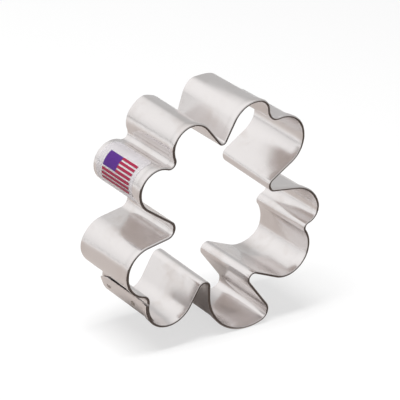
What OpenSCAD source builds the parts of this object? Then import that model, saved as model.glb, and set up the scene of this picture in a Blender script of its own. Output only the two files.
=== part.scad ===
// Four-leaf clover cookie cutter with a curved stem.
// One strip of tinplate has a hem folded along its rim, is bent round the outline of the clover
// and is spot welded to itself where its ends lap, in the notch of the lower left leaf.
// A printed film label is stuck round one round of the upper left leaf.
// The cutting edge lies on the ground plane, the hemmed rim is on top, and the stem points to -Y.

/* [Strip] */
// Depth of the strip, from the cutting edge to the hemmed rim
strip_depth = 25.4; // [19:0.1:32]
// Thickness of the tinplate
sheet_t = 0.28; // [0.2:0.01:0.36]
// Height of the hem that is folded down outside the rim
hem_h = 2.8; // [2:0.1:4]
// Space between the wall and the folded hem
hem_gap = 0.34; // [0.2:0.01:0.42]
// Easing along the top of the fold
rim_ease = 0.15; // [0.06:0.01:0.18]

/* [Leaves] */
// Width that the leaves are set out on
leaf_span_x = 75; // [68:0.5:82]
// Height that the leaves are set out on, without the stem
leaf_span_y = 67; // [61:0.5:73]
// Bend radius of the two rounds of the upper left leaf
left_round_r = 6.9; // [6.2:0.1:7.5]
// Bend radius of the two rounds of the upper right leaf
right_round_r = 8.9; // [8:0.1:9.8]
// Bend radius of the shoulder of the lower right leaf
shoulder_r = 12.2; // [11:0.1:13.4]
// Bend radius of the lower round of each lower leaf
low_round_r = 8.8; // [8:0.1:9.6]
// Bend radius of the upper round of the lower left leaf
seam_round_r = 8.5; // [7.7:0.1:9.3]
// Tighter bend radius where the two right leaves turn into their notches
corner_r = 4.6; // [4.1:0.1:5]
// Bend radius of the tight valley at the top
valley_r = 1.5; // [1.2:0.1:2]
// Bend radius of the three wider valleys, at the right and on both sides of the stem
wide_valley_r = 2.3; // [1.9:0.1:2.8]
// Bend radius of the roundest valley, at the left
left_valley_r = 3; // [2.4:0.1:3.6]
// Bend radius of the notches in the upper left and the lower right leaf
notch_r = 2; // [1.7:0.1:2.4]
// Bend radius of the notch in the upper right leaf
wide_notch_r = 4; // [3.5:0.1:4.6]
// Bend radius of the notch that holds the lap
lap_notch_r = 3; // [2.7:0.1:3.5]

/* [Stem] */
// How far the stem reaches below the leaves
stem_drop = 13.3; // [11:0.1:15]
// Distance of the stem's left side from the middle of the clover
stem_side = 6.9; // [6.3:0.1:7.5]
// Bend radius of the stem's long sweep
stem_sweep_r = 17.1; // [16:0.1:18.5]
// Bend radius of the stem's tip
stem_tip_r = 3.2; // [2.8:0.1:3.8]

/* [Lap] */
// Length of the inner end of the strip past the middle of the welds
lap_past_weld = 3.6; // [2.5:0.1:5]
// Space between the two layers of the lap
lap_gap = 0.06; // [0.03:0.01:0.1]
// Length of the corner that is clipped off the outer end, along the cutting edge
clip_l = 1.1; // [0.5:0.1:2]
// Height of the clipped corner
clip_h = 3.5; // [2:0.1:6]
// Diameter of a spot weld
weld_d = 2; // [1.4:0.1:2.6]
// Height of the lower weld above the cutting edge
low_weld_z = 3.7; // [3:0.1:6]
// Depth of the upper weld below the rim
high_weld_drop = 8.5; // [7:0.1:10]

/* [Label] */
// Length of the film label round the leaf
label_l = 18.6; // [17:0.1:21]
// Height of the label's lower side above the cutting edge
label_z = 1.6; // [0.5:0.1:3]
// Bare strip between the label and the hem
label_below_hem = 2.1; // [0.5:0.1:4]
// Thickness of the film
film_t = 0.1; // [0.06:0.01:0.2]
// Thickness of the glue under the film
glue_t = 0.02; // [0.01:0.01:0.04]
// Thickness of the printed ink
ink_t = 0.05; // [0.03:0.01:0.08]
// Bare film between its lower side and the striped print
print_low_margin = 3.1; // [2:0.1:3.5]
// Bare film between the striped print and the film's upper side
print_high_margin = 1.75; // [1:0.05:2.2]
// Height of the striped print round the leaf
print_h = 9.4; // [8:0.1:11]
// Length of the blue panel in the corner of the print
panel_w = 6.5; // [4:0.1:8]
// Share of each pair of a red stripe and a gap that is red
red_share = 0.6; // [0.5:0.01:0.7]

/* [Hidden] */

tin = "#c9c6c3";
weld_tin = "#8f8a86";
film_white = "#ecebf3";
print_blue = "#33208c";
print_red = "#b32744";

// Places of the bends' centres, as shares of half the leaf spans, with the middle of the clover at 0
top_valley_share = [-0.005, 0.731];
right_valley_share = [0.535, 0.057];
left_valley_share = [-0.595, 0.02];
stem_right_valley_share = [0.294, -0.888];
stem_left_valley_share = [-0.24, -0.766];
upper_left_top_share = [-0.31, 0.782];
upper_left_side_share = [-0.651, 0.466];
upper_right_top_share = [0.325, 0.732];
upper_right_side_share = [0.603, 0.469];
lower_right_shoulder_share = [0.685, -0.434];
lower_right_bottom_share = [0.663, -0.741];
lower_left_side_share = [-0.771, -0.337];
lower_left_bottom_share = [-0.585, -0.735];

// Directions, in degrees counterclockwise from +X, at which a wide bend passes into a tighter one
upper_right_turn_deg = 77;
lower_right_turn_deg = 15;
stem_tip_turn_deg = -78;
// Directions on the lower left round at which the outer end lies and at which the welds lie
outer_end_deg = 170.5;
weld_at_deg = 191.5;
// Direction of the label's middle on the side round of the upper left leaf
label_at_deg = 154;
// Largest step of a bend from one flat to the next
bend_step_deg = 7;
// The film's bends are drawn finer, so that the print lies flat on it
film_step_deg = 2;

// The print has a red stripe on each edge, and the panel takes up this many stripes
stripe_count = 13;
panel_stripes = 7;

// Overrun of the cuts
over = 0.5;
// Flats that draw the welds, and flats that draw a full turn of the rings they and the print are cut from
weld_sides = 48;
ring_sides = 180;

half_x = leaf_span_x/2;
half_y = leaf_span_y/2;

// Thickness of the rim outside the wall's outer face
hem_out = hem_gap + sheet_t;

// Radius of the inner layer of the lap
lap_inner_r = low_round_r - sheet_t - lap_gap;

function place(share) = [share.x*half_x, share.y*half_y];
function toward(deg) = [cos(deg), sin(deg)];
function degrees_of(length, radius) = length/radius*180/PI;

// Centre of a tighter bend that leaves a wide one smoothly in the direction deg
function tighter(centre, wide_r, tight_r, deg) = centre + (wide_r - tight_r)*toward(deg);

// Centre of a hollow bend that touches two rounds, on the right of the way from the first to the second
function notch_between(a, a_r, b, b_r, hollow_r) =
    let (
        d = norm(b - a),
        u = (b - a)/d,
        from_a = a_r + hollow_r,
        from_b = b_r + hollow_r,
        along = (d*d + from_a*from_a - from_b*from_b)/(2*d),
        aside = sqrt(max(0, from_a*from_a - along*along))
    )
    a + along*u + aside*[u.y, -u.x];

upper_left_top = place(upper_left_top_share);
upper_left_side = place(upper_left_side_share);
upper_right_top = place(upper_right_top_share);
upper_right_corner = tighter(upper_right_top, right_round_r, corner_r, upper_right_turn_deg);
upper_right_side = place(upper_right_side_share);
lower_right_shoulder = place(lower_right_shoulder_share);
lower_right_corner = tighter(lower_right_shoulder, shoulder_r, corner_r, lower_right_turn_deg);
lower_right_bottom = place(lower_right_bottom_share);
lower_left_side = place(lower_left_side_share);
lower_left_bottom = place(lower_left_bottom_share);
stem_sweep = [stem_sweep_r - stem_side, stem_sweep_r - half_y - stem_drop];
stem_tip = tighter(stem_sweep, stem_sweep_r, stem_tip_r, stem_tip_turn_deg);

// The bends of the strip in order, counterclockwise from its outer end: centre, radius of the wall's
// outer face, and 1 where the strip turns left round a leaf or -1 where it turns right in a hollow
bends = [
    [lower_left_bottom, low_round_r, 1],
    [place(stem_left_valley_share), wide_valley_r, -1],
    [stem_sweep, stem_sweep_r, 1],
    [stem_tip, stem_tip_r, 1],
    [place(stem_right_valley_share), wide_valley_r, -1],
    [lower_right_bottom, low_round_r, 1],
    [notch_between(lower_right_bottom, low_round_r, lower_right_corner, corner_r, notch_r), notch_r, -1],
    [lower_right_corner, corner_r, 1],
    [lower_right_shoulder, shoulder_r, 1],
    [place(right_valley_share), wide_valley_r, -1],
    [upper_right_side, right_round_r, 1],
    [notch_between(upper_right_side, right_round_r, upper_right_corner, corner_r, wide_notch_r),
        wide_notch_r, -1],
    [upper_right_corner, corner_r, 1],
    [upper_right_top, right_round_r, 1],
    [place(top_valley_share), valley_r, -1],
    [upper_left_top, left_round_r, 1],
    [notch_between(upper_left_top, left_round_r, upper_left_side, left_round_r, notch_r), notch_r, -1],
    [upper_left_side, left_round_r, 1],
    [place(left_valley_share), left_valley_r, -1],
    [lower_left_side, seam_round_r, 1],
    [notch_between(lower_left_side, seam_round_r, lower_left_bottom, lap_inner_r, lap_notch_r),
        lap_notch_r, -1],
    [lower_left_bottom, lap_inner_r, 1]
];
// The label lies on this bend, and the hem stops before the last one, inside the lap
label_bend = 17;
hemmed_bends = len(bends) - 1;

// Heading of the straight line that runs from one bend to the next and touches both
function heading(a, b) =
    let (
        way = b[0] - a[0],
        sine = (b[2]*b[1] - a[2]*a[1])/norm(way)
    )
    atan2(way.y, way.x) - asin(max(-1, min(1, sine)));

lap_end_deg = weld_at_deg + degrees_of(lap_past_weld, lap_inner_r);
headings = [
    outer_end_deg + 90,
    for (i = [0:len(bends) - 2]) heading(bends[i], bends[i + 1]),
    lap_end_deg + 90
];

// How far bend i turns, counted as positive, without the full turn that rounding can add to nothing
function turn_of(i) =
    let (
        t = bends[i][2]*(headings[i + 1] - headings[i]),
        turn = t - 360*floor(t/360)
    )
    turn > 350 ? 0 : turn;

// Points of bend i on the face that lies outset outside the wall's outer face
function bend_points(i, outset, step) =
    let (
        bend = bends[i],
        r = bend[1] + bend[2]*outset,
        steps = max(1, ceil(turn_of(i)/step))
    )
    [
        for (k = [0:steps])
            let (h = headings[i] + bend[2]*turn_of(i)*k/steps)
            bend[0] + bend[2]*r*[sin(h), -cos(h)]
    ];

// The box of the strip's outline, whose middle is the part's origin
low_corner = [lower_left_side.x - seam_round_r - hem_out, stem_sweep.y - stem_sweep_r - hem_out];
high_corner = [
    lower_right_corner.x + corner_r + hem_out,
    max(upper_right_top.y + right_round_r, upper_left_top.y + left_round_r) + hem_out
];
middle = (low_corner + high_corner)/2;

// One face of the strip from its outer end through the first count bends
function face_points(outset, count) =
    [for (i = [0:count - 1]) each bend_points(i, outset, bend_step_deg)];

function reversed(points) = [for (i = [len(points) - 1:-1:0]) points[i]];

// A layer of metal along the strip, between two outsets and two heights
module strip_layer(inner, outer, count, z0, z1) {
    outline = concat(face_points(outer, count), reversed(face_points(inner, count)));
    translate([-middle.x, -middle.y, z0])
        linear_extrude(z1 - z0)
            polygon(outline);
}

// The cut that clips the outer end's lower corner, as a wedge that passes clear of the inner layer
module clipped_corner() {
    translate([lower_left_bottom.x - middle.x, lower_left_bottom.y - middle.y, 0])
        difference() {
            rotate([0, 0, outer_end_deg])
                rotate([90, 0, 90])
                    linear_extrude(low_round_r + over)
                        polygon([
                            [-over, -over],
                            [clip_l*(1 + over/clip_h), -over],
                            [-over, clip_h*(1 + over/clip_l)]
                        ]);
            translate([0, 0, -2*over])
                cylinder(h = clip_h*(1 + over/clip_l) + 3*over, r = lap_inner_r + lap_gap/2, $fn = ring_sides);
        }
}

// A round bar along the line of sight into the lap, at a weld's height
module weld_bar(z) {
    translate([lower_left_bottom.x - middle.x, lower_left_bottom.y - middle.y, z])
        rotate([0, 0, weld_at_deg])
            rotate([0, 90, 0])
                translate([0, 0, lap_inner_r - sheet_t - over])
                    cylinder(h = 2*sheet_t + lap_gap + 2*over, d = weld_d, $fn = weld_sides);
}

module at_welds() {
    for (z = [low_weld_z, strip_depth - high_weld_drop])
        weld_bar(z);
}

// A flat ring between two radii, cut to the wedge between two directions less than 180 degrees apart
module ring_sector(inner_r, outer_r, from_deg, to_deg) {
    reach = 2*outer_r;
    mid_deg = (from_deg + to_deg)/2;
    intersection() {
        difference() {
            circle(outer_r, $fn = ring_sides);
            circle(inner_r, $fn = ring_sides);
        }
        polygon([[0, 0], reach*toward(from_deg), 2*reach*toward(mid_deg), reach*toward(to_deg)]);
    }
}

module cutter_band() {
    fold_z = strip_depth - sheet_t;
    color(tin)
        difference() {
            union() {
                // The wall, whose inner end has no fold on top
                strip_layer(-sheet_t, 0, len(bends), 0, fold_z);
                // The hem, turned down outside the wall
                strip_layer(hem_gap, hem_out, hemmed_bends, strip_depth - hem_h, fold_z);
                // The fold that joins them, eased along its top
                strip_layer(-sheet_t, hem_out, hemmed_bends, fold_z, strip_depth - rim_ease);
                strip_layer(rim_ease - sheet_t, hem_out - rim_ease, hemmed_bends,
                    strip_depth - rim_ease, strip_depth);
            }
            clipped_corner();
            at_welds();
        }
}

// Each weld is a nugget of melted metal that joins the two layers of the lap
module spot_welds() {
    color(weld_tin)
        intersection() {
            at_welds();
            translate([lower_left_bottom.x - middle.x, lower_left_bottom.y - middle.y, 0])
                linear_extrude(strip_depth)
                    difference() {
                        circle(low_round_r, $fn = ring_sides);
                        circle(lap_inner_r - sheet_t, $fn = ring_sides);
                    }
        }
}

// The label fills the strip between its two clearances
label_w = strip_depth - hem_h - label_below_hem - label_z;

// Directions where the label starts on its round, and where the round ends and the flank starts
label_from_deg = label_at_deg - degrees_of(label_l/2, left_round_r);
flank_heading = headings[label_bend + 1];
flank_at_deg = flank_heading - 90 + 360;
flank_l = label_l/2 - (flank_at_deg - label_at_deg)*PI/180*left_round_r;

// One face of the film, at a height above the wall
function film_points(height) =
    let (
        r = left_round_r + height,
        steps = ceil((flank_at_deg - label_from_deg)/film_step_deg)
    )
    [
        for (k = [0:steps])
            upper_left_side + r*toward(label_from_deg + (flank_at_deg - label_from_deg)*k/steps),
        upper_left_side + r*toward(flank_at_deg) + flank_l*toward(flank_heading)
    ];

module label_film() {
    color(film_white)
        translate([-middle.x, -middle.y, label_z])
            linear_extrude(label_w)
                polygon(concat(film_points(glue_t + film_t), reversed(film_points(glue_t))));
}

// The print has the label's width less the two margins, and its middle on the round is the label's
print_w = label_w - print_low_margin - print_high_margin;
print_z = label_z + print_low_margin;
print_inner_r = left_round_r + glue_t + film_t;
stripe_h = print_h/stripe_count;
// How far a red stripe reaches past its two lines, in stripes
red_spread = red_share - 0.5;

// One patch of ink, from one stripe line to another, counted from the top of the print
module ink_patch(from_line, to_line, z0, z1) {
    top_deg = label_at_deg - degrees_of(print_h/2, left_round_r);
    from_deg = top_deg + degrees_of(from_line*stripe_h, left_round_r);
    to_deg = top_deg + degrees_of(to_line*stripe_h, left_round_r);
    translate([upper_left_side.x - middle.x, upper_left_side.y - middle.y, z0])
        linear_extrude(z1 - z0)
            ring_sector(print_inner_r, print_inner_r + ink_t, from_deg, to_deg);
}

module label_blue_panel() {
    color(print_blue)
        ink_patch(0, panel_stripes, print_z, print_z + panel_w);
}

// Every second stripe is red, and those beside the panel start at its edge
module label_red_stripes() {
    color(print_red)
        for (line = [0:2:stripe_count - 1])
            ink_patch(line - red_spread, line + 1 + red_spread,
                line < panel_stripes ? print_z + panel_w : print_z, print_z + print_w);
}

cutter_band();
spot_welds();
label_film();
label_blue_panel();
label_red_stripes();
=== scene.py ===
"""A four-leaf clover cookie cutter, bent from one strip of tinplate, with a film label on one leaf."""

import math

import bmesh
import bpy
from mathutils import Matrix, Vector


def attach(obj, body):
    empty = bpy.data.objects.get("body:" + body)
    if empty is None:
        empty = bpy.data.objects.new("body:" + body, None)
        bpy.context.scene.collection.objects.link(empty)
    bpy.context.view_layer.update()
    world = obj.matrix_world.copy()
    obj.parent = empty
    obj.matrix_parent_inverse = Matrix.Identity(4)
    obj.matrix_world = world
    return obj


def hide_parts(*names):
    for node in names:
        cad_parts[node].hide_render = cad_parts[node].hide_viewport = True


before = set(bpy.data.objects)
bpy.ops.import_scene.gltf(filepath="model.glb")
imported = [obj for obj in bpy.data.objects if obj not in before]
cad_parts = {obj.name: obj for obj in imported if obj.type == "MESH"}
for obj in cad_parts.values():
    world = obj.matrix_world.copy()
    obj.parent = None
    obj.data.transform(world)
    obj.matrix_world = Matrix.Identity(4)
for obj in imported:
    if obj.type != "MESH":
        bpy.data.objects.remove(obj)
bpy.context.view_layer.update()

bl_info = {
    "name": "Clover cookie cutter",
    "version": (1, 0, 0),
    "blender": (4, 5, 0),
    "location": "View3D > Sidebar > Cutter",
    "description": "Bends a hemmed tinplate strip round a four-leaf clover and sticks a label on it",
    "category": "Object",
}

MM = 0.001

# Where each bend's centre lies, as shares of half the leaf spans, with the middle of the clover at 0
CENTRE_SHARES = {
    "top_valley": (-0.005, 0.731),
    "right_valley": (0.535, 0.057),
    "left_valley": (-0.595, 0.02),
    "stem_right_valley": (0.294, -0.888),
    "stem_left_valley": (-0.24, -0.766),
    "upper_left_top": (-0.31, 0.782),
    "upper_left_side": (-0.651, 0.466),
    "upper_right_top": (0.325, 0.732),
    "upper_right_side": (0.603, 0.469),
    "lower_right_shoulder": (0.685, -0.434),
    "lower_right_bottom": (0.663, -0.741),
    "lower_left_side": (-0.771, -0.337),
    "lower_left_bottom": (-0.585, -0.735),
}

# Numbers of the bends that something is measured from, in the strip's order
WELD_BEND = 0
STEM_BEND = 2
LOWER_RIGHT_CORNER_BEND = 7
UPPER_RIGHT_TOP_BEND = 13
UPPER_LEFT_TOP_BEND = 15
LABEL_BEND = 17
SEAM_BEND = 19
LAP_BEND = 21

# All directions below are in degrees, counterclockwise from +X
# Where a wide bend turns into a tighter one
UPPER_RIGHT_TURN = 77
LOWER_RIGHT_TURN = 15
STEM_TIP_TURN = -78
# Where the strip's outer end, the welds and the label's middle are, seen from their bend's centre
OUTER_END_AT = 170.5
WELD_AT = 191.5
LABEL_AT = 154
# Away from the floor, and towards the brightest part of the tent
FLOOR_UP = 81.4
OVERHEAD = 118

# Where the cutting edge is out of line: the place in millimetres, how far the edge was pushed there, and how
# far around it the push reaches. The two short ones are the creases along the tops of the upper leaves
PUSHES = (
    ((6, 38), (-1.55, 1.0), 6),
    ((6.8, 40.2), (-0.2, 0.45), 2.2),
    ((-11.9, 39.8), (-0.1, 0.55), 2.2),
    ((-5.9, 36.9), (0.4, 0.45), 5),
    ((18, 7.8), (1.1, 0.1), 5),
    ((30.9, 20.7), (0.6, -0.5), 5),
    ((33, -10.5), (0.5, -0.7), 4),
    ((31.5, -22.5), (0.6, -0.5), 6),
    ((15, -22.5), (0.1, -0.6), 6),
    ((-18.4, -25.7), (0.35, -0.55), 5),
    ((-37.4, -4.8), (-0.45, 0.15), 5),
    ((-8, -19), (0.35, 0.35), 4),
)

# How finely the pieces are cut: degrees of a bend, parts of the wall's height, of the fold, of a weld's round
# and of the film's corner, and the length of a part of the film
BEND_STEP = 4
WALL_STEPS = 8
FOLD_STEPS = 12
WELD_SIDES = 32
CORNER_STEPS = 8
FILM_STEP = 0.3 * MM

# How far the rim's fold slopes down for each metre outwards
FOLD_SLOPE = 0.2
# How far a weld mark's lip stands out of the sheet, and how deep its foot is sunk in it
WELD_LIP = 0.05 * MM
WELD_FOOT = 0.1 * MM
# Widths of the lip and its inner slope as shares of the weld's diameter, and the hollow as one of the lip
WELD_LIP_WIDTH = 0.15
WELD_SLOPE_WIDTH = 0.1
WELD_HOLLOW = 0.7

# Places nearer to each other than this are one place
TOUCHING = 0.001 * MM
# A turn above this many degrees is no turn at all, made a full one by rounding
NEARLY_FULL_TURN = 350
# An edge between faces that turn further than this many degrees stays sharp
SHARP_TURN = 40

# The floor: its half side in metres, and how much of its look is its own light
FLOOR_REACH = 1.5
FLOOR_GLOW = 0.62
# Heights in metres between which the mirrored floor gets its painted shade
SHADE_FROM = -230 * MM
SHADE_TO = -70 * MM
# Heights from the rim, between which the mirrored floor gives way to the painted dark room
ROOM_FROM = -2 * MM
ROOM_TO = 3 * MM

# The tent as the metal sees it: it grows from dim to bright, and its top is brighter still. Heights in it are
# shares of the way from its middle to the point overhead
TENT_SIDES_FROM = 0.18
TENT_SIDES_TO = 0.44
TENT_DIM = 0.64
TENT_BRIGHT = 0.95
TENT_TOP_FROM = 0.42
TENT_TOP_TO = 0.72
TENT_TOP = 0.22
# How strongly the tent lights all that isn't mirrored
TENT_PLAIN = 0.4

# The soft lamp: its sides in metres, its power in watts, and its place up from the floor, along it and in Z
LAMP_LENGTH = 0.62
LAMP_WIDTH = 0.24
LAMP_POWER = 9.3
LAMP_UP = 0.9
LAMP_ALONG = -0.28
LAMP_Z = 0.06

# The photograph's camera: its place from the middle of the clover in metres, its directions to the right, up
# and back, its sensor and lens in millimetres, and the nearest and farthest that it sees in metres
CAMERA_AT = (-0.32318, 0.31238, 0.455)
CAMERA_AXES = (
    (0.79902, -0.02477, 0.60079),
    (0.31650, 0.86687, -0.38519),
    (-0.51126, 0.49793, 0.70049),
)
CAMERA_SENSOR = 36
CAMERA_LENS = 180
CAMERA_SEES = (0.01, 10)

# Sockets by number, because some sockets of one node have the same name: those of the colour mix, of the
# shader mix and of the math nodes
MIX_A = 6
MIX_B = 7
MIX_RESULT = 2
SHARE = 0
SHADER_A = 1
SHADER_B = 2
MATH_A = 0
MATH_B = 1


def length(name, description, default):
    """A size in metres, shown in the scene's unit."""
    return bpy.props.FloatProperty(
        name=name, description=description, default=default, min=0, unit="LENGTH", precision=5
    )


def tint(name, description, default):
    """A colour, as sRGB hex."""
    return bpy.props.StringProperty(name=name, description=description, default=default, maxlen=7)


class CutterStrip(bpy.types.PropertyGroup):
    """Sizes of the hemmed strip"""

    depth: length("Depth", "From the cutting edge to the hemmed rim", 25.4 * MM)
    sheet: length("Sheet", "Thickness of the tinplate", 0.28 * MM)
    hem: length("Hem", "Height of the hem folded down outside the rim", 2.8 * MM)
    fold: length("Fold", "Height of the round part of the rim's fold", 0.25 * MM)
    hem_tip_gap: length("Hem tip gap", "Space between the wall and the hem's lower edge", 0.06 * MM)
    hem_gap: length("Hem gap", "Space inside the fold of the rim", 0.34 * MM)
    lap_gap: length("Lap gap", "Space between the two layers of the lap", 0.06 * MM)
    lap_past_weld: length("Lap", "Inner end of the strip past the middle of the welds", 3.6 * MM)
    clip: length("Clipped corner", "Length clipped off the outer end along the cutting edge", 1.1 * MM)
    clip_height: length("Clipped height", "Height of the clipped corner", 3.5 * MM)
    spring: length("Spring", "How far the outer end stands off at the cutting edge", 0.6 * MM)
    spring_length: length("Spring length", "Length of the outer end that stands off", 3 * MM)
    weld: length("Weld", "Diameter of a spot weld", 2 * MM)
    low_weld: length("Low weld", "Height of the lower weld above the cutting edge", 3.7 * MM)
    high_weld_drop: length("High weld drop", "Depth of the upper weld below the rim", 8.5 * MM)


class CutterLeaves(bpy.types.PropertyGroup):
    """Sizes of the clover's outline"""

    span_x: length("Width", "Width that the leaves are set out on", 75 * MM)
    span_y: length("Height", "Height that the leaves are set out on, without the stem", 67 * MM)
    left_round: length("Upper left rounds", "Bend radius of both rounds", 6.9 * MM)
    right_round: length("Upper right rounds", "Bend radius of both rounds", 8.9 * MM)
    shoulder: length("Lower right shoulder", "Bend radius of the shoulder", 12.2 * MM)
    low_round: length("Lower rounds", "Bend radius of the lower round of each lower leaf", 8.8 * MM)
    seam_round: length("Seam round", "Bend radius of the upper round of the lower left leaf", 8.5 * MM)
    corner: length("Corners", "Tighter bend radius beside the right notches", 4.6 * MM)
    valley: length("Top valley", "Bend radius of the tight valley at the top", 1.5 * MM)
    wide_valley: length("Wide valleys", "Bend radius of the three wider valleys", 2.3 * MM)
    left_valley: length("Left valley", "Bend radius of the roundest valley", 3 * MM)
    notch: length("Notches", "Bend radius of the upper left and lower right notches", 2 * MM)
    wide_notch: length("Wide notch", "Bend radius of the upper right notch", 4 * MM)
    lap_notch: length("Lap notch", "Bend radius of the notch that holds the lap", 3 * MM)
    stem_drop: length("Stem", "How far the stem reaches below the leaves", 13.3 * MM)
    stem_side: length("Stem side", "Distance of the stem's left side from the middle", 6.9 * MM)
    stem_sweep: length("Stem sweep", "Bend radius of the stem's long sweep", 17.1 * MM)
    stem_tip: length("Stem tip", "Bend radius of the stem's tip", 3.2 * MM)


class CutterLabel(bpy.types.PropertyGroup):
    """Sizes of the film label"""

    length: length("Length", "Length of the film round the leaf", 18.6 * MM)
    low: length("Lower side", "Height of the film's lower side above the cutting edge", 1.6 * MM)
    below_hem: length("Below the hem", "Bare strip between the film and the hem", 2.1 * MM)
    film: length("Film", "Thickness of the film", 0.1 * MM)
    glue: length("Glue", "Thickness of the glue under the film", 0.02 * MM)
    corner: length("Corner", "Radius of the film's corners", 2.2 * MM)


class CutterFinish(bpy.types.PropertyGroup):
    """Colours of the cutter"""

    tin: tint("Tinplate", "Colour of the tinplate", "#dfdbda")
    smudge: tint("Smudge", "Colour of the tin where hands have dulled it", "#d0c8c4")
    weld: tint("Weld", "Colour of the spot welds", "#a39c96")
    film: tint("Film", "Colour of the label film", "#e4e1e5")
    blue: tint("Blue", "Colour of the print's panel", "#451072")
    red: tint("Red", "Colour of the print's stripes", "#930a38")
    floor: tint("Floor", "Colour of the floor", "#f4f4f4")
    # Painted shade: the floor next to the cutter, as the metal mirrors it
    painted_floor_shade: tint("Shaded floor", "Colour of the floor as the metal mirrors it", "#c4bdb9")
    # Painted dark reflection: the room that the metal mirrors on the floor in front of the cutter
    room: tint("Room", "Colour of the dark room in front of the cutter", "#524842")


def linear(hex_colour):
    """An sRGB hex colour as linear red, green, blue and alpha."""
    parts = [int(hex_colour[i:i + 2], 16) / 255 for i in (1, 3, 5)]
    return [c / 12.92 if c <= 0.04045 else ((c + 0.055) / 1.055) ** 2.4 for c in parts] + [1]


def add(tree, kind, inputs=None, **settings):
    """Adds one node with its properties and its input sockets, which get values or other nodes' outputs."""
    made = tree.nodes.new(kind)
    for name, value in settings.items():
        setattr(made, name, value)
    for name, value in (inputs or {}).items():
        socket = made.inputs[name]
        if isinstance(value, bpy.types.NodeSocket):
            tree.links.new(value, socket)
        else:
            socket.default_value = value
    return made


def new_material(name):
    """An empty node material and its tree."""
    material = bpy.data.materials.new(name)
    material.use_nodes = True
    material.node_tree.nodes.clear()
    return material, material.node_tree


def toward(degrees):
    """A flat unit vector, counterclockwise from +X."""
    return Vector((math.cos(math.radians(degrees)), math.sin(math.radians(degrees))))


def degrees_of(arc, radius):
    """The angle of an arc of a given length."""
    return math.degrees(arc / radius)


def notch_between(a, a_r, b, b_r, hollow_r):
    """Centre of a hollow bend that touches two rounds, on the right of the way from a to b."""
    way = b - a
    far = way.length
    way.normalize()
    along = (far**2 + (a_r + hollow_r) ** 2 - (b_r + hollow_r) ** 2) / (2 * far)
    aside = math.sqrt(max(0, (a_r + hollow_r) ** 2 - along**2))
    return a + along * way + aside * Vector((way.y, -way.x))


class Bend:
    """One bend of the strip: its centre, its radius at the wall's outer face, 1 for left or -1 for right."""

    def __init__(self, centre, radius, side):
        self.centre = centre
        self.radius = radius
        self.side = side


def bends_of_strip():
    """The strip's bends in order, counterclockwise from its outer end."""
    scene = bpy.context.scene
    strip, leaves = scene.cutter_strip, scene.cutter_leaves

    def place(name):
        share = CENTRE_SHARES[name]
        return Vector((share[0] * leaves.span_x / 2, share[1] * leaves.span_y / 2))

    def tighter(centre, wide_r, tight_r, degrees):
        return centre + (wide_r - tight_r) * toward(degrees)

    lap_inner_r = leaves.low_round - strip.sheet - strip.lap_gap
    upper_left_top = place("upper_left_top")
    upper_left_side = place("upper_left_side")
    upper_right_top = place("upper_right_top")
    upper_right_side = place("upper_right_side")
    upper_right_corner = tighter(upper_right_top, leaves.right_round, leaves.corner, UPPER_RIGHT_TURN)
    lower_right_shoulder = place("lower_right_shoulder")
    lower_right_corner = tighter(lower_right_shoulder, leaves.shoulder, leaves.corner, LOWER_RIGHT_TURN)
    lower_right_bottom = place("lower_right_bottom")
    lower_left_side = place("lower_left_side")
    lower_left_bottom = place("lower_left_bottom")
    stem_sweep = Vector((
        leaves.stem_sweep - leaves.stem_side,
        leaves.stem_sweep - leaves.span_y / 2 - leaves.stem_drop,
    ))
    stem_tip = tighter(stem_sweep, leaves.stem_sweep, leaves.stem_tip, STEM_TIP_TURN)
    lower_right_notch = notch_between(
        lower_right_bottom, leaves.low_round, lower_right_corner, leaves.corner, leaves.notch)
    upper_right_notch = notch_between(
        upper_right_side, leaves.right_round, upper_right_corner, leaves.corner, leaves.wide_notch)
    upper_left_notch = notch_between(
        upper_left_top, leaves.left_round, upper_left_side, leaves.left_round, leaves.notch)
    lap_notch = notch_between(
        lower_left_side, leaves.seam_round, lower_left_bottom, lap_inner_r, leaves.lap_notch)
    return [
        Bend(lower_left_bottom, leaves.low_round, 1),
        Bend(place("stem_left_valley"), leaves.wide_valley, -1),
        Bend(stem_sweep, leaves.stem_sweep, 1),
        Bend(stem_tip, leaves.stem_tip, 1),
        Bend(place("stem_right_valley"), leaves.wide_valley, -1),
        Bend(lower_right_bottom, leaves.low_round, 1),
        Bend(lower_right_notch, leaves.notch, -1),
        Bend(lower_right_corner, leaves.corner, 1),
        Bend(lower_right_shoulder, leaves.shoulder, 1),
        Bend(place("right_valley"), leaves.wide_valley, -1),
        Bend(upper_right_side, leaves.right_round, 1),
        Bend(upper_right_notch, leaves.wide_notch, -1),
        Bend(upper_right_corner, leaves.corner, 1),
        Bend(upper_right_top, leaves.right_round, 1),
        Bend(place("top_valley"), leaves.valley, -1),
        Bend(upper_left_top, leaves.left_round, 1),
        Bend(upper_left_notch, leaves.notch, -1),
        Bend(upper_left_side, leaves.left_round, 1),
        Bend(place("left_valley"), leaves.left_valley, -1),
        Bend(lower_left_side, leaves.seam_round, 1),
        Bend(lap_notch, leaves.lap_notch, -1),
        Bend(lower_left_bottom, lap_inner_r, 1),
    ]


def start_of(bend, heading):
    """Where the wall's outer face touches a bend, with the strip heading that way."""
    side = Vector((math.sin(math.radians(heading)), -math.cos(math.radians(heading))))
    return bend.centre + bend.side * bend.radius * side


def headings_of(bends):
    """Headings in degrees of the strip before, between and after the bends."""
    strip = bpy.context.scene.cutter_strip

    def heading(a, b):
        way = b.centre - a.centre
        sine = (b.side * b.radius - a.side * a.radius) / way.length
        return math.degrees(math.atan2(way.y, way.x) - math.asin(max(-1, min(1, sine))))

    between = [heading(a, b) for a, b in zip(bends, bends[1:])]
    lap_end = WELD_AT + degrees_of(strip.lap_past_weld, bends[-1].radius)
    return [OUTER_END_AT + 90, *between, lap_end + 90]


def turns_of(bends, headings):
    """How far each bend turns in degrees, without the full turn that rounding can add to nothing."""
    turns = [(b.side * (h1 - h0)) % 360 for b, h0, h1 in zip(bends, headings, headings[1:])]
    return [0 if turn > NEARLY_FULL_TURN else turn for turn in turns]


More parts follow.
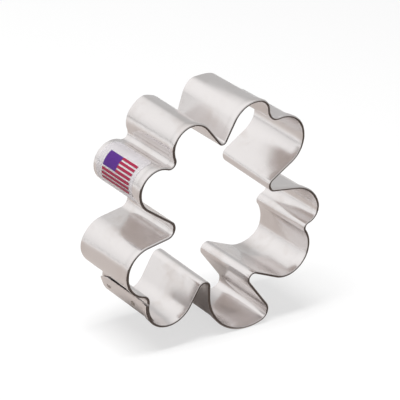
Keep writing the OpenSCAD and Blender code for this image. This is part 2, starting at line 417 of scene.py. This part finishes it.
def middle_of():
    """The middle of the outline's box, which is the frame's origin."""
    scene = bpy.context.scene
    strip, leaves = scene.cutter_strip, scene.cutter_leaves
    bends = bends_of_strip()
    out = strip.hem_gap + strip.sheet
    seam = bends[SEAM_BEND]
    stem = bends[STEM_BEND]
    corner = bends[LOWER_RIGHT_CORNER_BEND]
    tops = (bends[UPPER_RIGHT_TOP_BEND], bends[UPPER_LEFT_TOP_BEND])
    low = Vector((seam.centre.x - seam.radius - out, stem.centre.y - stem.radius - out))
    high = Vector((
        corner.centre.x + corner.radius + out,
        max(top.centre.y + top.radius for top in tops) + out,
    ))
    return (low + high) / 2


def verts_of(geom):
    """The vertices in the geometry that a mesh operator gives."""
    return [g for g in geom if isinstance(g, bmesh.types.BMVert)]


def edges_of(geom):
    """The edges in the geometry that a mesh operator gives."""
    return [g for g in geom if isinstance(g, bmesh.types.BMEdge)]


def carry_straight(mesh, profile, way):
    """Drags the profile's edges along a straight way, and gives the edges at its end."""
    made = bmesh.ops.extrude_edge_only(mesh, edges=profile)["geom"]
    ends = set(verts_of(made))
    bmesh.ops.translate(mesh, verts=list(ends), vec=(way.x, way.y, 0))
    return [edge for edge in edges_of(made) if ends.issuperset(edge.verts)]


def carry_round(mesh, profile, centre, degrees):
    """Drags the profile's edges round a bend, and gives the edges at its end."""
    spun = bmesh.ops.spin(
        mesh,
        geom=list({v for edge in profile for v in edge.verts}) + profile,
        cent=(centre.x, centre.y, 0),
        axis=(0, 0, 1),
        angle=math.radians(degrees),
        steps=math.ceil(abs(degrees) / BEND_STEP),
        use_duplicate=False,
    )
    return edges_of(spun["geom_last"])


def into_piece(mesh, name, material):
    """Turns a bmesh into an object of the scene that rides on the cutter."""
    data = bpy.data.meshes.new(name)
    mesh.to_mesh(data)
    mesh.free()
    data.materials.append(material)
    piece = bpy.data.objects.new(name, data)
    bpy.context.scene.collection.objects.link(piece)
    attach(piece, "root")
    return piece


def sharpen(mesh):
    """Shades the faces smoothly, but keeps the edges sharp where the sheet turns sharply."""
    for face in mesh.faces:
        face.smooth = True
    for edge in mesh.edges:
        edge.smooth = edge.calc_face_angle(0) < math.radians(SHARP_TURN)


def satin_tinplate():
    """Rolled tinplate: a tin coat on steel. It mirrors its surroundings softly, with faint smudges."""
    finish = bpy.context.scene.cutter_finish
    material, tree = new_material("satin_tinplate")
    where = add(tree, "ShaderNodeTexCoord")
    # The sheet is never quite flat: swells about 9 mm long bend the reflections
    swell = add(
        tree, "ShaderNodeTexNoise",
        {"Vector": where.outputs["Object"], "Scale": 110, "Detail": 0})
    swell_bump = add(
        tree, "ShaderNodeBump",
        {"Height": swell.outputs["Fac"], "Strength": 0.15, "Distance": 0.6 * MM})
    # The tin coat's roughness varies in clouds about 5 mm wide
    cloud = add(
        tree, "ShaderNodeTexNoise",
        {"Vector": where.outputs["Object"], "Scale": 200, "Detail": 2, "Roughness": 0.5})
    rough = add(
        tree, "ShaderNodeMapRange",
        {"Value": cloud.outputs["Fac"], "From Min": 0.3, "From Max": 0.7, "To Min": 0.18, "To Max": 0.25})
    # Handling leaves faint brownish smudges about 10 mm wide
    touch = add(
        tree, "ShaderNodeTexNoise",
        {"Vector": where.outputs["Object"], "Scale": 90, "Detail": 5, "Roughness": 0.6})
    smudge = add(
        tree, "ShaderNodeMapRange",
        {"Value": touch.outputs["Fac"], "From Min": 0.52, "From Max": 0.72, "To Min": 0, "To Max": 0.7})
    colour = add(
        tree, "ShaderNodeMix",
        {"Factor": smudge.outputs["Result"], MIX_A: linear(finish.tin), MIX_B: linear(finish.smudge)},
        data_type="RGBA")
    shader = add(
        tree, "ShaderNodeBsdfPrincipled",
        {
            "Base Color": colour.outputs[MIX_RESULT],
            "Metallic": 1,
            "Roughness": rough.outputs["Result"],
            "Normal": swell_bump.outputs["Normal"],
        })
    add(tree, "ShaderNodeOutputMaterial", {"Surface": shader.outputs["BSDF"]})
    return material


def weld_scale():
    """Mark of a resistance weld: the tin is burnt off and the steel is pitted, so it is dark and dull."""
    finish = bpy.context.scene.cutter_finish
    material, tree = new_material("weld_scale")
    where = add(tree, "ShaderNodeTexCoord")
    # Pits about 0.3 mm wide
    pits = add(
        tree, "ShaderNodeTexNoise",
        {"Vector": where.outputs["Object"], "Scale": 3000, "Detail": 2, "Roughness": 0.6})
    bump = add(
        tree, "ShaderNodeBump",
        {"Height": pits.outputs["Fac"], "Strength": 0.4, "Distance": 0.05 * MM})
    shader = add(
        tree, "ShaderNodeBsdfPrincipled",
        {
            "Base Color": linear(finish.weld),
            "Metallic": 1,
            "Roughness": 0.5,
            "Normal": bump.outputs["Normal"],
        })
    add(tree, "ShaderNodeOutputMaterial", {"Surface": shader.outputs["BSDF"]})
    return material


def clear_film():
    """Clear polypropylene label film, slightly milky: the tinplate shows through it, a little paler."""
    finish = bpy.context.scene.cutter_finish
    material, tree = new_material("clear_film")
    where = add(tree, "ShaderNodeTexCoord")
    # Film stretched over glue shows faint ripples about 2 mm long
    ripple = add(
        tree, "ShaderNodeTexNoise",
        {"Vector": where.outputs["Object"], "Scale": 500, "Detail": 1, "Roughness": 0.5})
    bump = add(
        tree, "ShaderNodeBump",
        {"Height": ripple.outputs["Fac"], "Strength": 0.15, "Distance": 0.1 * MM})
    shader = add(
        tree, "ShaderNodeBsdfPrincipled",
        {
            "Base Color": linear(finish.film),
            "Roughness": 0.3,
            "IOR": 1.49,
            "Alpha": 0.24,
            "Normal": bump.outputs["Normal"],
        })
    add(tree, "ShaderNodeOutputMaterial", {"Surface": shader.outputs["BSDF"]})
    return material


def printed_ink(name, colour):
    """Screen-printed ink on the film: even and opaque, with a soft gloss and a slightly uneven coat."""
    material, tree = new_material(name)
    where = add(tree, "ShaderNodeTexCoord")
    # The coat varies in spots about 0.5 mm wide, and is 2% paler where it is thin
    coat = add(
        tree, "ShaderNodeTexNoise",
        {"Vector": where.outputs["Object"], "Scale": 2000, "Detail": 2, "Roughness": 0.6})
    deep = linear(colour)
    thin = [c + 0.02 * (1 - c) for c in deep[:3]] + [1]
    ink = add(
        tree, "ShaderNodeMix",
        {"Factor": coat.outputs["Fac"], MIX_A: deep, MIX_B: thin},
        data_type="RGBA")
    shader = add(
        tree, "ShaderNodeBsdfPrincipled",
        {
            "Base Color": ink.outputs[MIX_RESULT],
            "Roughness": 0.38,
            "IOR": 1.5,
            "Specular IOR Level": 0.25,
        })
    add(tree, "ShaderNodeOutputMaterial", {"Surface": shader.outputs["BSDF"]})
    return material


def white_paper():
    """White paper with some light of its own, so that the shadow on it stays pale. To the metal it shows
    painted shade next to the cutter and a painted dark room in front of it.
    """
    scene = bpy.context.scene
    strip, finish = scene.cutter_strip, scene.cutter_finish
    material, tree = new_material("white_paper")
    paper = add(tree, "ShaderNodeBsdfDiffuse", {"Color": linear(finish.floor)})
    glow = add(tree, "ShaderNodeEmission", {"Color": (1, 1, 1, 1)})
    bright = add(
        tree, "ShaderNodeMixShader",
        {SHARE: FLOOR_GLOW, SHADER_A: paper.outputs["BSDF"], SHADER_B: glow.outputs["Emission"]})
    # The metal mirrors the floor with painted shade next to the cutter, and with its plain lighter colour far
    # behind it
    where = add(tree, "ShaderNodeTexCoord")
    parts = add(tree, "ShaderNodeSeparateXYZ", {"Vector": where.outputs["Object"]})
    near = add(
        tree, "ShaderNodeMapRange",
        {"Value": parts.outputs["Z"], "From Min": SHADE_FROM, "From Max": SHADE_TO},
        interpolation_type="SMOOTHSTEP")
    shade = add(
        tree, "ShaderNodeMix",
        {
            "Factor": near.outputs["Result"],
            MIX_A: linear(finish.floor),
            MIX_B: linear(finish.painted_floor_shade),
        },
        data_type="RGBA")
    shaded = add(tree, "ShaderNodeBsdfDiffuse", {"Color": shade.outputs[MIX_RESULT]})
    # In front of the cutter the metal mirrors a painted dark room: a dark glow on the paper that only the
    # metal sees
    front = add(
        tree, "ShaderNodeMapRange",
        {
            "Value": parts.outputs["Z"],
            "From Min": strip.depth + ROOM_FROM,
            "From Max": strip.depth + ROOM_TO,
        },
        interpolation_type="SMOOTHSTEP")
    room = add(tree, "ShaderNodeEmission", {"Color": linear(finish.room)})
    mirrored = add(
        tree, "ShaderNodeMixShader",
        {
            SHARE: front.outputs["Result"],
            SHADER_A: shaded.outputs["BSDF"],
            SHADER_B: room.outputs["Emission"],
        })
    path = add(tree, "ShaderNodeLightPath")
    lit = add(
        tree, "ShaderNodeMixShader",
        {
            SHARE: path.outputs["Is Glossy Ray"],
            SHADER_A: bright.outputs["Shader"],
            SHADER_B: mirrored.outputs["Shader"],
        })
    # It is clear from below, so that it hides nothing from there
    side = add(tree, "ShaderNodeNewGeometry")
    clear = add(tree, "ShaderNodeBsdfTransparent")
    seen = add(
        tree, "ShaderNodeMixShader",
        {
            SHARE: side.outputs["Backfacing"],
            SHADER_A: lit.outputs["Shader"],
            SHADER_B: clear.outputs["BSDF"],
        })
    add(tree, "ShaderNodeOutputMaterial", {"Surface": seen.outputs["Shader"]})
    return material


def round_the_leaf(centre, radius, at, along, height, z, flank_at=None):
    """A place along a round, from a direction on it. Past flank_at the strip runs straight."""
    angle = at + degrees_of(along, radius)
    spare = 0
    if flank_at is not None and angle > flank_at:
        spare = math.radians(angle - flank_at) * radius
        angle = flank_at
    flat = centre + (radius + height) * toward(angle) + spare * toward(angle + 90)
    return Vector((flat.x, flat.y, z))


class CUTTER_OT_band(bpy.types.Operator):
    """Bends the hemmed strip round the clover"""

    bl_idname = "cutter.band"
    bl_label = "Strip"

    def fold_start(self, strip):
        """Height at which the fold starts, so that its highest point is the rim."""
        drop = FOLD_SLOPE * (strip.sheet + strip.hem_gap / 2)
        return strip.depth + drop - math.hypot(strip.fold, drop)

    def section(self, mesh, strip, place, outward):
        """Draws the sheet's section: the wall's inner face, the fold's outside and the hem's outer face."""
        fold_r = strip.sheet + strip.hem_gap / 2
        fold_z = self.fold_start(strip)
        low = place - strip.sheet * outward
        tip = mesh.verts.new((low.x, low.y, 0))
        for _ in range(WALL_STEPS):
            tip = bmesh.ops.extrude_vert_indiv(mesh, verts=[tip])["verts"][0]
            bmesh.ops.translate(mesh, verts=[tip], vec=(0, 0, fold_z / WALL_STEPS))
        wall = set(mesh.verts)
        hinge = place + strip.hem_gap / 2 * outward
        spun = bmesh.ops.spin(
            mesh,
            geom=[tip],
            cent=(hinge.x, hinge.y, fold_z),
            axis=(outward.y, -outward.x, 0),
            angle=-math.pi,
            steps=FOLD_STEPS,
            use_duplicate=False,
        )
        # The fold is a flattened half circle that slopes down outwards
        for vert in mesh.verts:
            if vert not in wall:
                out = (vert.co.xy - low).dot(outward)
                vert.co.z = fold_z + (vert.co.z - fold_z) * strip.fold / fold_r - FOLD_SLOPE * out
        tip = bmesh.ops.extrude_vert_indiv(mesh, verts=verts_of(spun["geom_last"]))["verts"][0]
        # The hem leans back until its lower edge nearly touches the wall
        back = (strip.hem_tip_gap - strip.hem_gap) * outward
        tip.co = (tip.co.x + back.x, tip.co.y + back.y, strip.depth - strip.hem)
        return mesh.edges[:]

    def wall_part(self, strip, profile, place, outward):
        """The profile's edges that belong to the wall below the fold."""
        top = self.fold_start(strip) + TOUCHING
        inner = -strip.sheet / 2
        return [
            edge for edge in profile
            if all(v.co.z < top and (v.co.xy - place).dot(outward) < inner for v in edge.verts)
        ]

    def clip_corner(self, mesh, strip, place, way):
        """Clips the lower corner of the strip's outer end."""
        bmesh.ops.bisect_plane(
            mesh,
            geom=mesh.verts[:] + mesh.edges[:] + mesh.faces[:],
            plane_co=(place.x, place.y, strip.clip_height),
            plane_no=(-strip.clip_height * way.x, -strip.clip_height * way.y, -strip.clip),
            clear_outer=True,
        )

    def spring_off(self, mesh, strip, place):
        """Springs the strip's outer end off the inner layer, most at its lower corner."""
        outward = toward(OUTER_END_AT)
        for vert in mesh.verts:
            near = max(0, 1 - (vert.co.xy - place).length / strip.spring_length)
            away = strip.spring * near * (1 - vert.co.z / strip.depth)
            vert.co.x += away * outward.x
            vert.co.y += away * outward.y

    def push_out_of_line(self, mesh, strip):
        """Pushes the cutting edge a little out of line with the rim, as in a cutter that has been used."""
        for place, way, reach in PUSHES:
            centre = MM * Vector(place)
            for vert in mesh.verts:
                near = math.exp(-((vert.co.xy - centre).length / (reach * MM)) ** 2)
                away = near * (1 - vert.co.z / strip.depth)
                vert.co.x += away * way[0] * MM
                vert.co.y += away * way[1] * MM

    def execute(self, context):
        strip = context.scene.cutter_strip
        middle = middle_of()
        bends = bends_of_strip()
        headings = headings_of(bends)
        turns = turns_of(bends, headings)
        starts = [start_of(bend, heading) - middle for bend, heading in zip(bends, headings)]
        ends = [start_of(bend, heading) - middle for bend, heading in zip(bends, headings[1:])]

        mesh = bmesh.new()
        profile = self.section(mesh, strip, starts[0], toward(OUTER_END_AT))
        for i, (bend, turn) in enumerate(zip(bends, turns)):
            if i == LAP_BEND:
                side = toward(headings[i] - 90)
                profile = self.wall_part(strip, profile, ends[i - 1], side)
            if i > 0 and (starts[i] - ends[i - 1]).length > TOUCHING:
                profile = carry_straight(mesh, profile, starts[i] - ends[i - 1])
            if turn > 0:
                profile = carry_round(mesh, profile, bend.centre - middle, bend.side * turn)
            if i == 0:
                self.clip_corner(mesh, strip, starts[0], toward(headings[0]))
                self.spring_off(mesh, strip, starts[0])
        self.push_out_of_line(mesh, strip)
        bmesh.ops.recalc_face_normals(mesh, faces=mesh.faces)
        bmesh.ops.solidify(mesh, geom=mesh.faces[:], thickness=strip.sheet)
        sharpen(mesh)
        piece = into_piece(mesh, "hemmed_strip", satin_tinplate())
        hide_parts("cutter_band")
        return {"FINISHED"}


class CUTTER_OT_welds(bpy.types.Operator):
    """Presses the marks of the two spot welds into both sides of the lap"""

    bl_idname = "cutter.welds"
    bl_label = "Spot welds"

    def flat_mark(self, mesh, weld):
        """Draws a round mark with a raised lip and a hollow middle, lying flat, and gives its vertices."""
        made = bmesh.ops.create_circle(mesh, cap_ends=True, segments=WELD_SIDES, radius=weld / 2)
        verts = set(made["verts"])
        face = next(f for f in mesh.faces if verts.issuperset(f.verts))
        low = bmesh.ops.extrude_face_region(mesh, geom=[face])["geom"]
        verts.update(verts_of(low))
        bmesh.ops.translate(mesh, verts=verts_of(low), vec=(0, 0, WELD_LIP + WELD_FOOT))
        top = next(g for g in low if isinstance(g, bmesh.types.BMFace))
        before = set(mesh.verts)
        for width, drop in ((WELD_LIP_WIDTH, 0), (WELD_SLOPE_WIDTH, WELD_HOLLOW)):
            bmesh.ops.inset_individual(mesh, faces=[top], thickness=width * weld, depth=-drop * WELD_LIP)
        return verts | (set(mesh.verts) - before)

    def execute(self, context):
        strip, leaves = context.scene.cutter_strip, context.scene.cutter_leaves
        centre = bends_of_strip()[WELD_BEND].centre - middle_of()
        outer = leaves.low_round
        inner = leaves.low_round - 2 * strip.sheet - strip.lap_gap
        mesh = bmesh.new()
        for z in (strip.low_weld, strip.depth - strip.high_weld_drop):
            for radius, side in ((outer, 1), (inner, -1)):
                for vert in self.flat_mark(mesh, strip.weld):
                    along, up = vert.co.x, vert.co.y
                    height = side * (vert.co.z - WELD_FOOT)
                    vert.co = round_the_leaf(centre, radius, WELD_AT, along, height, z + up)
        bmesh.ops.recalc_face_normals(mesh, faces=mesh.faces)
        sharpen(mesh)
        piece = into_piece(mesh, "weld_marks", weld_scale())
        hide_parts("spot_welds")
        return {"FINISHED"}


class CUTTER_OT_label(bpy.types.Operator):
    """Sticks the film round the upper left leaf and inks its print"""

    bl_idname = "cutter.label"
    bl_label = "Label"

    def flat_film(self, mesh, label, width):
        """Draws a flat film with round corners: length along X, width along Y and lower face at 0."""
        bmesh.ops.create_grid(mesh, x_segments=1, y_segments=1, size=0.5)
        bmesh.ops.scale(mesh, verts=mesh.verts, vec=(label.length, width, 1))
        bmesh.ops.bevel(
            mesh,
            geom=mesh.verts[:],
            offset=label.corner,
            segments=CORNER_STEPS,
            profile=0.5,
            affect="VERTICES",
            material=-1,
        )
        cuts = round(label.length / FILM_STEP)
        for i in range(1, cuts):
            bmesh.ops.bisect_plane(
                mesh,
                geom=mesh.verts[:] + mesh.edges[:] + mesh.faces[:],
                plane_co=(label.length * (i / cuts - 0.5), 0, 0),
                plane_no=(1, 0, 0),
            )
        bmesh.ops.recalc_face_normals(mesh, faces=mesh.faces)
        bmesh.ops.solidify(mesh, geom=mesh.faces[:], thickness=label.film)
        low = min(vert.co.z for vert in mesh.verts)
        bmesh.ops.translate(mesh, verts=mesh.verts, vec=(0, 0, -low))

    def ink(self, finish):
        """Gives the print's solids, which come from the CAD, their ink."""
        inks = {
            "label_blue_panel": printed_ink("blue_ink", finish.blue),
            "label_red_stripes": printed_ink("red_ink", finish.red),
        }
        for node, ink in inks.items():
            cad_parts[node].material_slots[0].material = ink

    def execute(self, context):
        strip, label = context.scene.cutter_strip, context.scene.cutter_label
        bends = bends_of_strip()
        bend = bends[LABEL_BEND]
        centre = bend.centre - middle_of()
        flank_at = (headings_of(bends)[LABEL_BEND + 1] - 90) % 360
        width = strip.depth - strip.hem - label.below_hem - label.low
        mesh = bmesh.new()
        self.flat_film(mesh, label, width)
        for vert in mesh.verts:
            height = vert.co.z + label.glue
            z = label.low + width / 2 + vert.co.y
            vert.co = round_the_leaf(centre, bend.radius, LABEL_AT, vert.co.x, height, z, flank_at)
        bmesh.ops.recalc_face_normals(mesh, faces=mesh.faces)
        sharpen(mesh)
        piece = into_piece(mesh, "film", clear_film())
        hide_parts("label_film")
        self.ink(context.scene.cutter_finish)
        return {"FINISHED"}


class CUTTER_OT_stage(bpy.types.Operator):
    """Sets the camera, the floor, the light tent and the lamp"""

    bl_idname = "cutter.stage"
    bl_label = "Stage"

    def floor(self, scene):
        """A paper floor under the stem's end, tilted because the cutter stands on it in the photograph."""
        strip = scene.cutter_strip
        stem = bends_of_strip()[STEM_BEND]
        up = toward(FLOOR_UP)
        low = stem.centre - middle_of() - (stem.radius + strip.hem_gap + strip.sheet) * up
        mesh = bmesh.new()
        bmesh.ops.create_grid(mesh, x_segments=1, y_segments=1, size=FLOOR_REACH)
        turn = Vector((up.x, up.y, 0)).to_track_quat("Z", "Y").to_matrix()
        bmesh.ops.transform(mesh, matrix=turn.to_4x4(), verts=mesh.verts)
        bmesh.ops.translate(mesh, verts=mesh.verts, vec=(low.x, low.y, 0))
        data = bpy.data.meshes.new("floor")
        mesh.to_mesh(data)
        mesh.free()
        data.materials.append(white_paper())
        floor = bpy.data.objects.new("floor", data)
        scene.collection.objects.link(floor)

    def world(self, scene):
        """A light tent. The metal sees it brightest overhead, and the camera sees plain white."""
        world = bpy.data.worlds.new("light_tent")
        scene.world = world
        world.use_nodes = True
        tree = world.node_tree
        tree.nodes.clear()
        where = add(tree, "ShaderNodeTexCoord")
        over = toward(OVERHEAD)
        height = add(
            tree, "ShaderNodeVectorMath",
            {MATH_A: where.outputs["Generated"], MATH_B: (over.x, over.y, 0)},
            operation="DOT_PRODUCT")
        sides = add(
            tree, "ShaderNodeMapRange",
            {
                "Value": height.outputs["Value"],
                "From Min": TENT_SIDES_FROM,
                "From Max": TENT_SIDES_TO,
                "To Min": TENT_DIM,
                "To Max": TENT_BRIGHT,
            },
            interpolation_type="SMOOTHSTEP")
        top = add(
            tree, "ShaderNodeMapRange",
            {
                "Value": height.outputs["Value"],
                "From Min": TENT_TOP_FROM,
                "From Max": TENT_TOP_TO,
                "To Min": 0,
                "To Max": TENT_TOP,
            })
        tent = add(
            tree, "ShaderNodeMath",
            {MATH_A: sides.outputs["Result"], MATH_B: top.outputs["Result"]},
            operation="ADD")
        white = (1, 1, 1, 1)
        mirrored = add(
            tree, "ShaderNodeBackground",
            {"Color": white, "Strength": tent.outputs["Value"]})
        plain = add(tree, "ShaderNodeBackground", {"Color": white, "Strength": TENT_PLAIN})
        backdrop = add(tree, "ShaderNodeBackground", {"Color": white, "Strength": 1})
        path = add(tree, "ShaderNodeLightPath")
        by_metal = add(
            tree, "ShaderNodeMixShader",
            {
                SHARE: path.outputs["Is Glossy Ray"],
                SHADER_A: plain.outputs["Background"],
                SHADER_B: mirrored.outputs["Background"],
            })
        by_camera = add(
            tree, "ShaderNodeMixShader",
            {
                SHARE: path.outputs["Is Camera Ray"],
                SHADER_A: by_metal.outputs["Shader"],
                SHADER_B: backdrop.outputs["Background"],
            })
        add(tree, "ShaderNodeOutputWorld", {"Surface": by_camera.outputs["Shader"]})

    def lamp(self, scene):
        """One long soft lamp overhead, a little to the left. The metal mirrors the tent in its place."""
        data = bpy.data.lights.new("softbox", "AREA")
        data.shape = "RECTANGLE"
        data.size = LAMP_LENGTH
        data.size_y = LAMP_WIDTH
        data.energy = LAMP_POWER
        lamp = bpy.data.objects.new("softbox", data)
        scene.collection.objects.link(lamp)
        up = toward(FLOOR_UP).to_3d()
        along = toward(FLOOR_UP - 90).to_3d()
        place = LAMP_UP * up + LAMP_ALONG * along + Vector((0, 0, LAMP_Z))
        away = place.normalized()
        side = (along - along.dot(away) * away).normalized()
        turn = Matrix((side, away.cross(side), away)).transposed()
        lamp.matrix_world = Matrix.Translation(place) @ turn.to_4x4()
        lamp.visible_glossy = False

    def camera(self, scene):
        """The photograph's camera, about 0.64 m away, with a long lens."""
        data = bpy.data.cameras.new("camera")
        data.sensor_width = CAMERA_SENSOR
        data.lens = CAMERA_LENS
        data.clip_start, data.clip_end = CAMERA_SEES
        camera = bpy.data.objects.new("camera", data)
        scene.collection.objects.link(camera)
        eye = Vector(CAMERA_AT) - middle_of().to_3d()
        camera.matrix_world = Matrix.Translation(eye) @ Matrix(CAMERA_AXES).transposed().to_4x4()
        scene.camera = camera

    def execute(self, context):
        scene = context.scene
        self.camera(scene)
        self.floor(scene)
        self.world(scene)
        self.lamp(scene)
        scene.view_settings.view_transform = "Standard"
        return {"FINISHED"}


class CUTTER_PT_panel(bpy.types.Panel):
    """Lists the pieces of the cutter"""

    bl_idname = "CUTTER_PT_panel"
    bl_label = "Clover cutter"
    bl_space_type = "VIEW_3D"
    bl_region_type = "UI"
    bl_category = "Cutter"

    def draw(self, context):
        for made in OPERATORS:
            self.layout.operator(made.bl_idname)
        for name in GROUPS:
            box = self.layout.box()
            settings = getattr(context.scene, name)
            for setting in settings.__annotations__:
                box.prop(settings, setting)


GROUPS = {
    "cutter_strip": CutterStrip,
    "cutter_leaves": CutterLeaves,
    "cutter_label": CutterLabel,
    "cutter_finish": CutterFinish,
}
OPERATORS = (CUTTER_OT_band, CUTTER_OT_welds, CUTTER_OT_label, CUTTER_OT_stage)
CLASSES = (*GROUPS.values(), *OPERATORS, CUTTER_PT_panel)


def register():
    for made in CLASSES:
        bpy.utils.register_class(made)
    for name, group in GROUPS.items():
        setattr(bpy.types.Scene, name, bpy.props.PointerProperty(type=group))


def unregister():
    for name in GROUPS:
        delattr(bpy.types.Scene, name)
    for made in reversed(CLASSES):
        bpy.utils.unregister_class(made)


def main():
    register()
    bpy.ops.cutter.band()
    bpy.ops.cutter.welds()
    bpy.ops.cutter.label()
    bpy.ops.cutter.stage()


if __name__ == "__main__":
    main()
